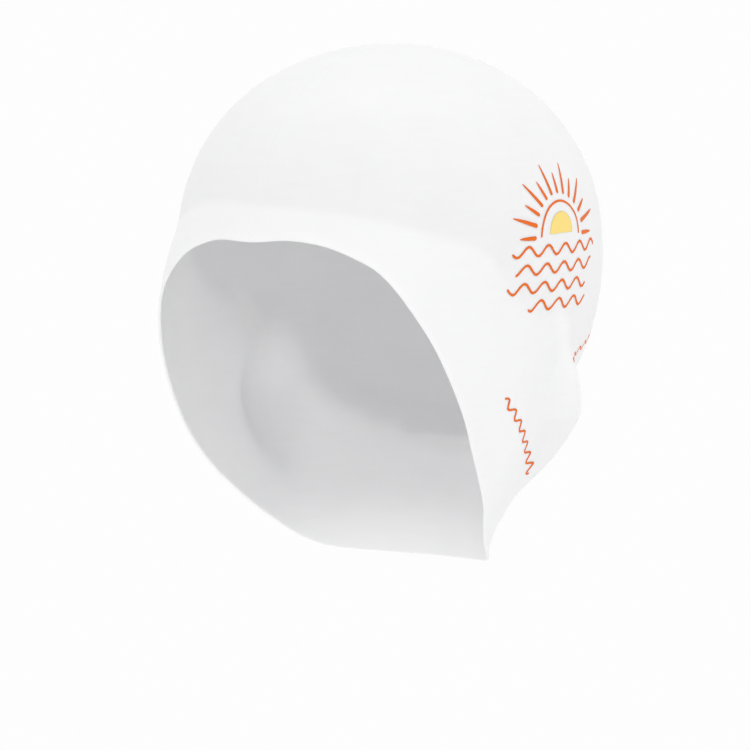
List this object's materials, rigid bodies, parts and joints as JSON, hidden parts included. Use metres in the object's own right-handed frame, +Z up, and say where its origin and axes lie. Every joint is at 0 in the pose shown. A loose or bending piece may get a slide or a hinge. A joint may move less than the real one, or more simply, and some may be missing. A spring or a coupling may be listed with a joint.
{
  "type": "swim cap",
  "caption": "One-piece moulded silicone swim cap that covers the crown, ears and nape, with a crease above the brow, raised ear bumps and an open face.",
  "frame": {"origin": "inside of the crown's top, where a head carries the cap", "axes": "+Z up, -Y out of the brow, +X towards the wearer's left ear"},
  "size_m": [0.154, 0.1984, 0.2052],
  "materials": {
    "silicone": "satin"
  },
  "bodies": {
    "root": {"cap_skin": "silicone"}
  },
  "joints": []
}
